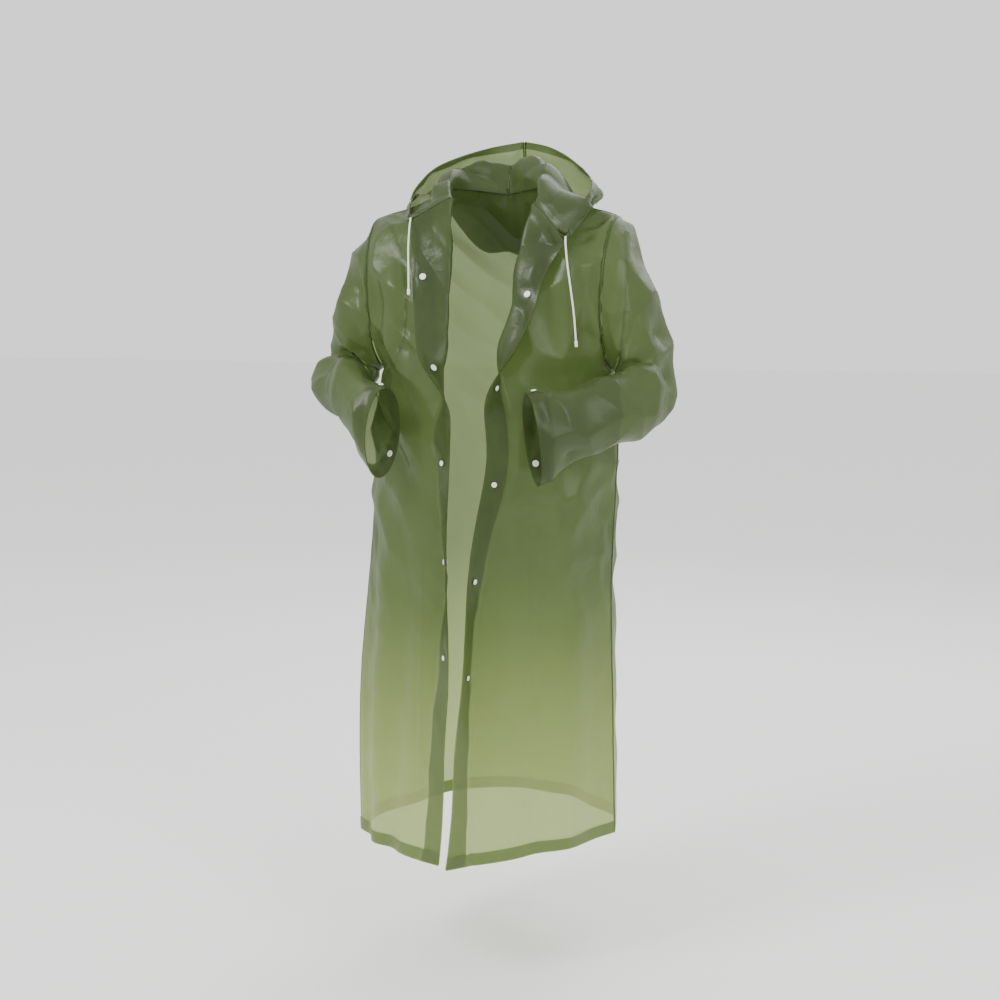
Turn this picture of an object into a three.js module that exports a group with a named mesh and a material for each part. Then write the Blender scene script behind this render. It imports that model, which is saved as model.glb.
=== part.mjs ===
// A long hooded rain coat of thin translucent film, hanging open as it is worn, with nobody in it.
// Millimetres. +Z is up, the front faces -Y, and the wearer's left arm is on +X.
// The origin is the point between the shoulders, level with the shoulder tips, where the coat is held up.
import * as THREE from "three";

// Driving sizes
const FILM = 2; // wall of every cut piece
const BAND = 1.2; // wall of a folded or welded band that lies on a piece
// Each edge keeps this far from its seam line, further where the pieces meet at an angle.
const SIDE_GAP = 0.8;
const NECK_GAP = 1.3;
const SLEEVE_GAP = 2.5;
const LAYER_GAP = 0.35; // between a piece and what lies on it
const SHOULDER_TIP_X = 236;
const NECK_SIDE = { x: 84, y: -4, z: 50 };
const NECK_BACK = { y: 72, z: 42 };
const ARMHOLE = { x: 231, depth: 290, front: 108, back: 110, lean: 5, hollow: 4 };
const HEM_Z = -1210;
const HEM_BAND = 25;
const PLACKET = 40;
const CUFF_BAND = 24;
const CASING = 14;
const SNAP = { capRadius: 6.2, capHeight: 1.5, socketRadius: 4.9, socketHeight: 2.2, sides: 12 };
const SNAP_SHOULDER = { height: 0.5, radius: 0.86 }; // shares of a disc, where its round edge starts and ends
const SNAP_PITCH = 180;
const SNAP_FROM_EDGE = 20;
const CORD_RADIUS = 1.75;
const CORD_SIDES = 8;
const CORD_STEP = 2.5; // diameters
const TIP = { radius: 2.9, length: 12, mouth: 1.7, ease: 1.5, sides: 12 };
const FRONT_SNAPS = 5;
const SNAP_FIRST = { left: 128, right: 120 }; // from the neck seam down the placket
const SEAT_SEARCH = 9; // a snap's seat is looked for this far off the cloth
const CUFF_SNAP_COLUMNS = [5.5, 13.3]; // places round the cuff
const SHOULDER_SAG = 4;
const LEAST_BEND = 16; // a roll takes at least this much cloth
const LEAST_FLAT = 4; // cloth left between the placket and the roll
const ARMHOLE_EASE = 0.12; // the share of a sleeve over which it leaves the armhole's shape

// How many cells each stretch of a piece has
const SHOULDER_ROWS = 5;
const ARMHOLE_ROWS = 11;
const CHEST_COLUMNS = 10;
const ROLL_COLUMNS = 4;
const PLACKET_COLUMNS = 3;
const BACK_COLUMNS = 20;
const SLEEVE_ROWS = 18;
const HOOD_COLUMNS = 15;
const HOOD_ROWS = 12;
const CURVE_STEPS = 80; // pieces that a curve is measured in

const v = (x, y, z) => new THREE.Vector3(x, y, z);
const rad = THREE.MathUtils.degToRad;
const mix = THREE.MathUtils.lerp;
const bell = (distance, reach) => Math.exp(-((distance / reach) ** 2));
const shares = (count) => Array.from({ length: count + 1 }, (_, i) => i / count);

// The value of a named column of a table at a place between its rows, on a smooth curve.
function at(table, key, column, place) {
  const rising = table[table.length - 1][key] > table[0][key] ? 1 : -1;
  let i = 0;
  while (i < table.length - 2 && rising * (place - table[i + 1][key]) > 0) i += 1;
  const [a, b] = [table[i], table[i + 1]];
  const [before, after] = [table[Math.max(i - 1, 0)], table[Math.min(i + 2, table.length - 1)]];
  const span = b[key] - a[key];
  const t = Math.min(Math.max((place - a[key]) / span, 0), 1);
  const slope = (p, q) => (q[key] === p[key] ? 0 : ((q[column] - p[column]) / (q[key] - p[key])) * span);
  const [m0, m1] = [slope(before, b), slope(a, after)];
  const [t2, t3] = [t * t, t * t * t];
  return (
    (2 * t3 - 3 * t2 + 1) * a[column] + (t3 - 2 * t2 + t) * m0
    + (3 * t2 - 2 * t3) * b[column] + (t3 - t2) * m1
  );
}

// The side seams below the armpits, level by level, on the wearer's left and right.
const BODY = [
  { z: -290, left: 226, leftY: 8, right: 226, rightY: 8 },
  { z: -330, left: 232, leftY: 8, right: 234, rightY: 6 },
  { z: -400, left: 238, leftY: 8, right: 242, rightY: 2 },
  { z: -550, left: 233, leftY: 12, right: 247, rightY: -18 },
  { z: -700, left: 225, leftY: 20, right: 252, rightY: -40 },
  { z: -870, left: 227, leftY: 30, right: 264, rightY: -60 },
  { z: -1040, left: 229, leftY: 40, right: 266, rightY: -70 },
  { z: HEM_Z, left: 231, leftY: 49, right: 261, rightY: -77 },
];
// The middle of the back, from the neck to the hem.
const SPINE = [
  { z: NECK_BACK.z, x: 0, y: NECK_BACK.y },
  { z: -30, x: 0, y: 98 },
  { z: -120, x: 0, y: 122 },
  { z: -210, x: 0, y: 138 },
  { z: -290, x: 0, y: 150 },
  { z: -400, x: -2, y: 168 },
  { z: -690, x: -12, y: 212 },
  { z: -880, x: -18, y: 238 },
  { z: -1085, x: -22, y: 258 },
  { z: HEM_Z, x: -25, y: 266 },
];
const SKIRT_LEVELS = [
  -290, -325, -360, -400, -450, -520, -600, -690, -780, -880, -980, -1085, HEM_Z + HEM_BAND, HEM_Z,
];

// Each front: where it rolls back (x, y), how far it turns there, how much cloth is past the roll,
// and how much that cloth drops for each millimetre outwards.
const LEFT_FRONT = [
  { z: 19, x: 106, y: -90, turn: 150, past: 110, drop: 1 },
  { z: 0, x: 101, y: -97, turn: 155, past: 97, drop: 1 },
  { z: -40, x: 92, y: -112, turn: 162, past: 88, drop: 0.8 },
  { z: -100, x: 84, y: -134, turn: 166, past: 80, drop: 0.5 },
  { z: -180, x: 81, y: -160, turn: 158, past: 73, drop: 0.2 },
  { z: -250, x: 71, y: -180, turn: 138, past: 66, drop: 0.05 },
  { z: -290, x: 70, y: -190, turn: 104, past: 61, drop: 0 },
  { z: -345, x: 92, y: -197, turn: 40, past: 60, drop: 0 },
  { z: -400, x: 103, y: -198, turn: 14, past: 60, drop: 0 },
  { z: -480, x: 101, y: -199, turn: 20, past: 60, drop: 0 },
  { z: -600, x: 59, y: -201, turn: 60, past: 60, drop: 0 },
  { z: -690, x: 38, y: -202, turn: 78, past: 60, drop: 0 },
  { z: -780, x: 26, y: -203, turn: 90, past: 60, drop: 0 },
  { z: -865, x: 24, y: -204, turn: 86, past: 60, drop: 0 },
  { z: -970, x: 20, y: -205, turn: 70, past: 60, drop: 0 },
  { z: -1072, x: 19, y: -206, turn: 70, past: 60, drop: 0 },
  { z: -1140, x: 20, y: -207, turn: 60, past: 60, drop: 0 },
  { z: HEM_Z, x: 19, y: -208, turn: 44, past: 60, drop: 0 },
];
const RIGHT_FRONT = [
  { z: 30, x: 60, y: -92, turn: 158, past: 97, drop: 0.62 },
  { z: -31, x: 56, y: -112, turn: 166, past: 95, drop: 0.5 },
  { z: -115, x: 49, y: -140, turn: 167, past: 90, drop: 0.3 },
  { z: -193, x: 45, y: -161, turn: 160, past: 83, drop: 0.12 },
  { z: -255, x: 45, y: -182, turn: 140, past: 73, drop: 0.03 },
  { z: -300, x: 48, y: -193, turn: 94, past: 62, drop: 0 },
  { z: -345, x: 57, y: -196, turn: 48, past: 60, drop: 0 },
  { z: -400, x: 77, y: -197, turn: 22, past: 60, drop: 0 },
  { z: -481, x: 62, y: -198, turn: 45, past: 60, drop: 0 },
  { z: -628, x: 45, y: -200, turn: 70, past: 60, drop: 0 },
  { z: -703, x: 46, y: -201, turn: 66, past: 60, drop: 0 },
  { z: -776, x: 53, y: -202, turn: 55, past: 60, drop: 0 },
  { z: -873, x: 64, y: -203, turn: 42, past: 60, drop: 0 },
  { z: -937, x: 78, y: -205, turn: 36, past: 60, drop: 0 },
  { z: -1064, x: 84, y: -206, turn: 28, past: 60, drop: 0 },
  { z: -1152, x: 91, y: -207, turn: 24, past: 60, drop: 0 },
  { z: HEM_Z, x: 101, y: -208, turn: 20, past: 60, drop: 0 },
];
const ROLL_RADIUS = 9;

// Long soft folds of the body, each a ridge (or a trough, where deep is negative) that runs down the cloth.
// around is the way round from the front (0) over the side (1) to the back (2), drift moves it on its way.
const BODY_FOLDS = [
  { hand: 1, around: 0.42, drift: 0, top: -240, foot: -580, reach: 0.3, deep: -26 },
  { hand: 1, around: 0.68, drift: -0.44, top: -390, foot: -760, reach: 0.085, deep: 12 },
  { hand: 1, around: 0.36, drift: 0.04, top: -560, foot: HEM_Z, reach: 0.085, deep: -12 },
  { hand: 1, around: 0.6, drift: 0, top: -620, foot: HEM_Z, reach: 0.09, deep: 9 },
  { hand: 1, around: 0.86, drift: 0.02, top: -430, foot: HEM_Z, reach: 0.09, deep: -8 },
  { hand: 1, around: 1.22, drift: 0.04, top: -320, foot: HEM_Z, reach: 0.08, deep: 12 },
  { hand: 1, around: 1.42, drift: 0.05, top: -300, foot: HEM_Z, reach: 0.07, deep: -11 },
  { hand: 1, around: 1.66, drift: 0.02, top: -280, foot: HEM_Z, reach: 0.08, deep: 10 },
  { hand: 1, around: 1.86, drift: -0.02, top: -420, foot: HEM_Z, reach: 0.07, deep: -9 },
  { hand: -1, around: 0.45, drift: 0, top: -240, foot: -580, reach: 0.3, deep: -24 },
  { hand: -1, around: 0.2, drift: 0.46, top: -430, foot: -780, reach: 0.085, deep: 11 },
  { hand: -1, around: 0.3, drift: 0.06, top: -600, foot: HEM_Z, reach: 0.08, deep: -12 },
  { hand: -1, around: 0.56, drift: 0.02, top: -700, foot: HEM_Z, reach: 0.09, deep: 9 },
  { hand: -1, around: 0.82, drift: 0, top: -440, foot: HEM_Z, reach: 0.08, deep: -10 },
  { hand: -1, around: 1.2, drift: -0.03, top: -320, foot: HEM_Z, reach: 0.08, deep: 10 },
  { hand: -1, around: 1.45, drift: -0.03, top: -290, foot: HEM_Z, reach: 0.08, deep: -12 },
  { hand: -1, around: 1.72, drift: -0.04, top: -330, foot: HEM_Z, reach: 0.08, deep: 11 },
];
// Short folds over the chest, where the sleeves pull at the armholes.
const CHEST_FOLDS = [
  { hand: 1, around: 0.62, drift: -0.12, top: -20, foot: -300, reach: 0.085, deep: 9 },
  { hand: 1, around: 0.84, drift: -0.1, top: -60, foot: -330, reach: 0.07, deep: -9 },
  { hand: -1, around: 0.66, drift: -0.08, top: -20, foot: -310, reach: 0.085, deep: 9 },
  { hand: -1, around: 0.86, drift: -0.1, top: -50, foot: -320, reach: 0.07, deep: -9 },
  { hand: 1, around: 1.3, drift: 0.12, top: -40, foot: -330, reach: 0.09, deep: 8 },
  { hand: -1, around: 1.34, drift: 0.1, top: -30, foot: -320, reach: 0.09, deep: 8 },
];
const FOLD_EASE = 130; // a fold fades in and out over this length

function foldDepth(folds, hand, around, z) {
  return folds
    .filter((fold) => fold.hand === hand)
    .reduce((sum, fold) => {
      const run = (fold.top - z) / (fold.top - fold.foot);
      const fadeIn = THREE.MathUtils.smoothstep(fold.top - z, 0, FOLD_EASE);
      const fadeOut = fold.foot === HEM_Z ? 1 : THREE.MathUtils.smoothstep(z - fold.foot, 0, FOLD_EASE);
      const place = fold.around + fold.drift * Math.min(Math.max(run, 0), 1);
      return sum + fold.deep * fadeIn * fadeOut * bell(around - place, fold.reach);
    }, 0);
}

// The line that a front and the back share: shoulder seam, then armhole, then side seam.
// hand is 1 on the wearer's left; face is -1 on the front edge of the armhole and 1 on its back edge.
function sidePoint(row, hand, face) {
  if (row <= SHOULDER_ROWS) {
    const t = row / SHOULDER_ROWS;
    const sag = SHOULDER_SAG * Math.sin(Math.PI * t);
    const x = mix(NECK_SIDE.x, SHOULDER_TIP_X, t);
    return v(hand * x, mix(NECK_SIDE.y, 0, t), mix(NECK_SIDE.z, 0, t) - sag);
  }
  if (row <= SHOULDER_ROWS + ARMHOLE_ROWS) {
    const angle = (Math.PI * (row - SHOULDER_ROWS)) / ARMHOLE_ROWS;
    return armholePoint(angle, hand, face);
  }
  const z = SKIRT_LEVELS[row - SHOULDER_ROWS - ARMHOLE_ROWS];
  const side = hand > 0 ? "left" : "right";
  return v(hand * at(BODY, "z", side, z), at(BODY, "z", `${side}Y`, z), z);
}

function armholePoint(angle, hand, face) {
  const wide = face < 0 ? ARMHOLE.front : ARMHOLE.back;
  const x = ARMHOLE.x + ARMHOLE.lean * Math.cos(angle) - ARMHOLE.hollow * Math.sin(angle);
  const y = face * wide * Math.sin(angle) + mix(0, BODY[0].leftY, angle / Math.PI);
  return v(hand * x, y, (ARMHOLE.depth / 2) * (Math.cos(angle) - 1));
}

const ROWS = SHOULDER_ROWS + ARMHOLE_ROWS + SKIRT_LEVELS.length - 1;
const ARMPIT_ROW = SHOULDER_ROWS + ARMHOLE_ROWS;

// The height of a row where it crosses the middle of the front or back.
function middleHeight(row, top) {
  if (row >= ARMPIT_ROW) return SKIRT_LEVELS[row - ARMPIT_ROW];
  return mix(top, SKIRT_LEVELS[0], row / ARMPIT_ROW);
}

// How each row goes round from the middle to the side line: the degrees that it turns, and how round it is
// in front and behind, from a straight line (0) to a full arc (1).
const ROUND = [
  { row: 0, turn: 50, front: 0.25, behind: 0.6 },
  { row: SHOULDER_ROWS, turn: 52, front: 0.4, behind: 0.7 },
  { row: SHOULDER_ROWS + 5, turn: 52, front: 0.8, behind: 0.9 },
  { row: ARMPIT_ROW, turn: 90, front: 0.95, behind: 1 },
  { row: ARMPIT_ROW + 6, turn: 90, front: 0.75, behind: 1 },
  { row: ARMPIT_ROW + 9, turn: 90, front: 0.5, behind: 0.95 },
  { row: ROWS, turn: 90, front: 0.3, behind: 0.9 },
];

// From the middle of the front or back to the side line, t from 0 to 1. face is -1 in front and 1 behind.
function quarter(middle, side, row, face, t) {
  const turn = rad(at(ROUND, "row", "turn", row));
  const round = at(ROUND, "row", face < 0 ? "front" : "behind", row);
  const arc = Math.sin(turn * t) / Math.sin(turn);
  const across = mix(t, arc, round);
  const deep = mix(1 - t, (Math.cos(turn * t) - Math.cos(turn)) / (1 - Math.cos(turn)), round);
  const down = mix(t, Math.sin((Math.PI / 2) * t), round);
  return v(mix(middle.x, side.x, across), mix(side.y, middle.y, deep), mix(middle.z, side.z, down));
}

// Points at given parts of a curve's length.
function evenly(curve, parts) {
  const points = shares(CURVE_STEPS).map(curve);
  const run = [0];
  for (let i = 1; i <= CURVE_STEPS; i += 1) run.push(run[i - 1] + points[i].distanceTo(points[i - 1]));
  return parts.map((part) => {
    const want = part * run[CURVE_STEPS];
    let i = 1;
    while (i < CURVE_STEPS && run[i] < want) i += 1;
    const t = (want - run[i - 1]) / (run[i] - run[i - 1]);
    return points[i - 1].clone().lerp(points[i], t);
  });
}

// Pushes a row of the body out along its folds. around runs with the points from first to last.
function fold(points, hand, first, last) {
  const outward = (p, q, r) => {
    const along = q.clone().sub(p);
    return v(along.y, -along.x, 0).normalize().multiplyScalar(r);
  };
  return points.map((point, i) => {
    const around = mix(first, last, i / (points.length - 1));
    const edge = Math.min(1, i / 2, (points.length - 1 - i) / 2);
    const deep = foldDepth([...BODY_FOLDS, ...CHEST_FOLDS], hand, around, point.z);
    const [p, q] = [points[Math.max(i - 1, 0)], points[Math.min(i + 1, points.length - 1)]];
    const sign = hand * (last > first ? 1 : -1);
    return point.clone().add(outward(p, q, sign * deep * edge));
  });
}

// The cloth of a front past its roll: a bend, then straight on, outwards over the chest.
function lapelPoint(roll, hand, facts, fromRoll) {
  const turn = rad(facts.turn);
  const bend = ROLL_RADIUS * turn;
  const angle = Math.min(fromRoll / ROLL_RADIUS, turn);
  const straight = Math.max(fromRoll - bend, 0);
  const inward = ROLL_RADIUS * Math.sin(angle) + straight * Math.cos(turn);
  const forward = ROLL_RADIUS * (1 - Math.cos(angle)) + straight * Math.sin(turn);
  const outwards = Math.max(0, -straight * Math.cos(turn));
  return v(roll.x - hand * inward, roll.y - forward, roll.z - facts.drop * outwards);
}

// The distances from the roll of the columns between it and the free edge, nearest the free edge first.
function lapelColumns(facts) {
  const wanted = Math.max(ROLL_RADIUS * rad(facts.turn), LEAST_BEND);
  const bend = Math.min(wanted, facts.past - PLACKET - LEAST_FLAT);
  const placket = shares(PLACKET_COLUMNS).map((share) => facts.past - PLACKET * share);
  const roll = shares(ROLL_COLUMNS).slice(0, -1).map((share) => bend * (1 - share));
  return [...placket, ...roll];
}

// One front, from its free edge to the side line, row by row from the neck to the hem.
function frontGrid(hand) {
  const table = hand > 0 ? LEFT_FRONT : RIGHT_FRONT;
  const rows = [];
  for (let row = 0; row <= ROWS; row += 1) {
    const z = middleHeight(row, table[0].z);
    const facts = {};
    for (const key of ["x", "y", "turn", "past", "drop"]) facts[key] = at(table, "z", key, z);
    const roll = v(hand * facts.x, facts.y, z);
    const side = sidePoint(row, hand, -1);
    const chest = evenly((t) => quarter(roll, side, row, -1, t), shares(CHEST_COLUMNS));
    const turned = lapelColumns(facts).map((distance) => lapelPoint(roll, hand, facts, distance));
    rows.push([...turned, ...fold(chest, hand, 0, 1)]);
  }
  return rows;
}

// The back, from the wearer's right side line over the middle to the left one.
function backGrid() {
  const rows = [];
  for (let row = 0; row <= ROWS; row += 1) {
    const z = middleHeight(row, NECK_BACK.z);
    const middle = v(at(SPINE, "z", "x", z), at(SPINE, "z", "y", z), z);
    const halves = [-1, 1].map((hand) => {
      const side = sidePoint(row, hand, 1);
      const half = evenly((s) => quarter(middle, side, row, 1, s), shares(BACK_COLUMNS / 2));
      return fold(half, hand, 2, 1);
    });
    rows.push([...halves[0].slice(1).reverse(), ...halves[1]]);
  }
  return rows;
}

// Stations of the wearer's left sleeve, armhole to cuff. The first three numbers of over are the way from
// the middle to the line that starts at the shoulder tip and ends on the outer side of the wrist. Those of
// fore are the way to the line that starts at the front of the armhole and ends on top of the wrist.
// a and b are the half widths those ways. The right sleeve is higher by lift and slimmer along fore.
const SLEEVE = [
  {
    t: 0, x: 231, y: 4, z: -145, over: [0.03, 0, 1], fore: [-0.03, -1, 0],
    a: 145, b: 109, lift: 0, slim: 1,
  },
  {
    t: 0.14, x: 263, y: 2, z: -188, over: [0.18, 0, 0.98], fore: [0, -1, 0.02],
    a: 110, b: 100, lift: 0, slim: 1,
  },
  {
    t: 0.27, x: 281, y: 0, z: -233, over: [0.45, 0, 0.89], fore: [0, -0.99, 0.08],
    a: 72, b: 92, lift: 4, slim: 1,
  },
  {
    t: 0.38, x: 290, y: -7, z: -282, over: [0.87, 0, 0.48], fore: [0, -0.95, 0.3],
    a: 50, b: 84, lift: 8, slim: 0.98,
  },
  {
    t: 0.5, x: 297, y: -34, z: -326, over: [0.99, -0.1, 0.14], fore: [0, -0.66, 0.75],
    a: 51, b: 74, lift: 16, slim: 0.9,
  },
  {
    t: 0.62, x: 280, y: -94, z: -346, over: [0.86, -0.5, 0.02], fore: [0, -0.14, 0.99],
    a: 50, b: 66, lift: 28, slim: 0.82,
  },
  {
    t: 0.75, x: 240, y: -156, z: -361, over: [0.74, -0.67, 0], fore: [0, 0, 1],
    a: 46, b: 68, lift: 32, slim: 0.8,
  },
  {
    t: 0.88, x: 190, y: -212, z: -382, over: [0.68, -0.73, 0], fore: [-0.08, 0, 1],
    a: 41, b: 76, lift: 20, slim: 0.86,
  },
  {
    t: 1, x: 141, y: -250, z: -400, over: [0.6, -0.8, 0], fore: [-0.17, 0, 1],
    a: 36, b: 84, lift: 4, slim: 1,
  },
];
// Creases of each sleeve: t along it, around in degrees from the over line towards the fore line, and the
// reach of the crease both ways, along in shares of the sleeve and across in degrees.
const SLEEVE_FOLDS = [
  { hand: 1, t: 0.44, around: 88, along: 0.04, across: 62, deep: -20 },
  { hand: 1, t: 0.54, around: 110, along: 0.035, across: 50, deep: 12 },
  { hand: 1, t: 0.35, around: 60, along: 0.05, across: 50, deep: 9 },
  { hand: 1, t: 0.2, around: 70, along: 0.04, across: 45, deep: -9 },
  { hand: 1, t: 0.68, around: 20, along: 0.05, across: 60, deep: -9 },
  { hand: 1, t: 0.83, around: 300, along: 0.1, across: 28, deep: -10 },
  { hand: 1, t: 0.3, around: 250, along: 0.05, across: 50, deep: -10 },
  { hand: 1, t: 0.5, around: 265, along: 0.06, across: 60, deep: 12 },
  { hand: -1, t: 0.3, around: 20, along: 0.035, across: 55, deep: -17 },
  { hand: -1, t: 0.22, around: 10, along: 0.05, across: 60, deep: 13 },
  { hand: -1, t: 0.45, around: 80, along: 0.04, across: 70, deep: -20 },
  { hand: -1, t: 0.54, around: 60, along: 0.04, across: 60, deep: 12 },
  { hand: -1, t: 0.66, around: 40, along: 0.04, across: 40, deep: -9 },
  { hand: -1, t: 0.85, around: 285, along: 0.1, across: 30, deep: -9 },
  { hand: -1, t: 0.33, around: 240, along: 0.05, across: 50, deep: -10 },
  { hand: -1, t: 0.5, around: 270, along: 0.06, across: 60, deep: 12 },
];

function sleeveFold(hand, t, degrees) {
  return SLEEVE_FOLDS.filter((fold) => fold.hand === hand).reduce((sum, fold) => {
    const apart = ((degrees - fold.around + 540) % 360) - 180;
    return sum + fold.deep * bell(t - fold.t, fold.along) * bell(apart, fold.across);
  }, 0);
}

// One sleeve, ring by ring. Its first ring is the armhole, point for point.
function sleeveGrid(hand) {
  const count = 2 * ARMHOLE_ROWS;
  const axis = (t, key) => {
    const table = SLEEVE.map((station) => {
      const [x, y, z] = station[key];
      return { t: station.t, x, y, z };
    });
    return v(at(table, "t", "x", t), at(table, "t", "y", t), at(table, "t", "z", t));
  };
  const middleLine = new THREE.CatmullRomCurve3(SLEEVE.map(({ x, y, z }) => v(x, y, z)));
  const cuffShare = CUFF_BAND / middleLine.getLength();
  const rows = shares(SLEEVE_ROWS).map((t) => t * (1 - cuffShare));
  return [...rows, 1].map((t) => {
    const lift = hand < 0 ? at(SLEEVE, "t", "lift", t) : 0;
    const centre = v(at(SLEEVE, "t", "x", t), at(SLEEVE, "t", "y", t), at(SLEEVE, "t", "z", t) + lift);
    const over = axis(t, "over").normalize();
    const fore = axis(t, "fore");
    fore.addScaledVector(over, -fore.dot(over)).normalize();
    const a = at(SLEEVE, "t", "a", t);
    const b = at(SLEEVE, "t", "b", t) * (hand < 0 ? at(SLEEVE, "t", "slim", t) : 1);
    return Array.from({ length: count }, (_, j) => {
      const degrees = (360 * j) / count;
      const angle = rad(degrees);
      const inFront = angle <= Math.PI;
      const seam = armholePoint(inFront ? angle : 2 * Math.PI - angle, 1, inFront ? -1 : 1);
      const way = over.clone().multiplyScalar(a * Math.cos(angle));
      way.addScaledVector(fore, b * Math.sin(angle));
      const grow = 1 + sleeveFold(hand, t, degrees) / way.length();
      const ring = centre.clone().addScaledVector(way, grow);
      const point = seam.lerp(ring, THREE.MathUtils.smoothstep(t, 0, ARMHOLE_EASE));
      return v(hand * point.x, point.y, point.z);
    });
  });
}

// The hood lies back. u runs along the neck seam from the middle of the back (0) to the front corner (1).
// For each u: the ridge where the cloth behind the neck turns down, the bottom of the pouch, its outer
// belly, and the rim.
const LEFT_HOOD = [
  { u: 0, ridge: [0, 92, 118], pouch: [0, 166, -92], belly: [0, 204, 20], rim: [4, 172, 150] },
  { u: 0.14, ridge: [42, 82, 120], pouch: [76, 156, -76], belly: [90, 190, 24], rim: [66, 155, 136] },
  { u: 0.27, ridge: [72, 54, 112], pouch: [130, 122, -18], belly: [156, 140, 34], rim: [126, 108, 102] },
  { u: 0.39, ridge: [92, 18, 98], pouch: [158, 60, 22], belly: [191, 66, 36], rim: [166, 52, 74] },
  { u: 0.52, ridge: [98, -28, 78], pouch: [166, 4, 36], belly: [205, 4, 30], rim: [184, 4, 54] },
  { u: 0.64, ridge: [106, -74, 46], pouch: [164, -46, 22], belly: [203, -46, 10], rim: [184, -38, 32] },
  { u: 0.76, ridge: [120, -106, 14], pouch: [158, -92, -4], belly: [191, -88, -22], rim: [177, -76, -2] },
  { u: 0.88, ridge: [148, -128, -22], pouch: [165, -122, -30], belly: [180, -118, -40], rim: [172, -108, -24] },
  { u: 1, ridge: [174, -145, -50], pouch: [173, -142, -48], belly: [172, -138, -45], rim: [171, -133, -42] },
];
const RIGHT_HOOD = [
  { u: 0, ridge: [0, 92, 118], pouch: [0, 166, -92], belly: [0, 204, 20], rim: [-4, 172, 150] },
  { u: 0.14, ridge: [42, 82, 119], pouch: [74, 156, -78], belly: [86, 190, 22], rim: [60, 152, 138] },
  { u: 0.27, ridge: [70, 52, 110], pouch: [126, 122, -20], belly: [140, 138, 40], rim: [108, 106, 118] },
  { u: 0.4, ridge: [86, 12, 97], pouch: [140, 58, 32], belly: [162, 60, 48], rim: [140, 48, 94] },
  { u: 0.53, ridge: [82, -34, 78], pouch: [136, 4, 42], belly: [166, 8, 36], rim: [154, 6, 66] },
  { u: 0.66, ridge: [74, -78, 52], pouch: [124, -44, 34], belly: [164, -36, 20], rim: [158, -32, 42] },
  { u: 0.8, ridge: [88, -108, 26], pouch: [120, -80, 16], belly: [154, -74, -4], rim: [150, -66, 14] },
  { u: 0.91, ridge: [112, -126, 6], pouch: [128, -114, 2], belly: [141, -108, -6], rim: [140, -98, 2] },
  { u: 1, ridge: [125, -134, -8], pouch: [126, -131, -6], belly: [128, -127, -3], rim: [130, -122, 0] },
];

function hoodGrid(hand, seamLine) {
  const table = hand > 0 ? LEFT_HOOD : RIGHT_HOOD;
  const place = (u, key) => {
    const flat = table.map((row) => ({ u: row.u, x: row[key][0], y: row[key][1], z: row[key][2] }));
    return v(hand * at(flat, "u", "x", u), at(flat, "u", "y", u), at(flat, "u", "z", u));
  };
  const seam = evenly(lineThrough(seamLine), shares(HOOD_COLUMNS));
  const columns = shares(HOOD_COLUMNS).map((u, i) => {
    const stops = ["ridge", "pouch", "belly", "rim"].map((key) => place(u, key));
    const path = new THREE.CatmullRomCurve3([seam[i], ...stops], false, "centripetal");
    const casing = Math.min(CASING / path.getLength(), 1 / 3);
    const rows = shares(HOOD_ROWS).map((share) => share * (1 - casing));
    return evenly((t) => path.getPoint(t), [...rows, 1]);
  });
  return columns[0].map((_, row) => columns.map((column) => column[row]));
}

// A curve through points, straight between them.
function lineThrough(points) {
  const run = [0];
  for (let i = 1; i < points.length; i += 1) run.push(run[i - 1] + points[i].distanceTo(points[i - 1]));
  return (t) => {
    const want = t * run[points.length - 1];
    let i = 1;
    while (i < points.length - 1 && run[i] < want) i += 1;
    return points[i - 1].clone().lerp(points[i], (want - run[i - 1]) / (run[i] - run[i - 1]));
  };
}

// Moves edges of a grid towards their neighbours by their gaps, to leave room at the seams.
function trimmed(grid, gaps) {
  const out = grid.map((row) => row.map((p) => p.clone()));
  const [last, end] = [grid.length - 1, grid[0].length - 1];
  const pull = (i, j, k, l, gap) => {
    const way = grid[k][l].clone().sub(grid[i][j]);
    out[i][j].addScaledVector(way.normalize(), gap);
  };
  for (let i = 0; i <= last; i += 1) {
    if (gaps.first) pull(i, 0, i, 1, gaps.first);
    if (gaps.last) pull(i, end, i, end - 1, gaps.last);
  }
  for (let j = 0; j <= end && gaps.top; j += 1) pull(0, j, 1, j, gaps.top);
  return out;
}

// The way out of the cloth at each point of a grid.
function outwards(grid, ring, sign) {
  const [rows, columns] = [grid.length, grid[0].length];
  return grid.map((row, i) => row.map((_, j) => {
    const [up, down] = [grid[Math.max(i - 1, 0)][j], grid[Math.min(i + 1, rows - 1)][j]];
    const before = ring ? row[(j + columns - 1) % columns] : row[Math.max(j - 1, 0)];
    const after = ring ? row[(j + 1) % columns] : row[Math.min(j + 1, columns - 1)];
    return down.clone().sub(up).cross(after.clone().sub(before)).normalize().multiplyScalar(sign);
  }));
}

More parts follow.
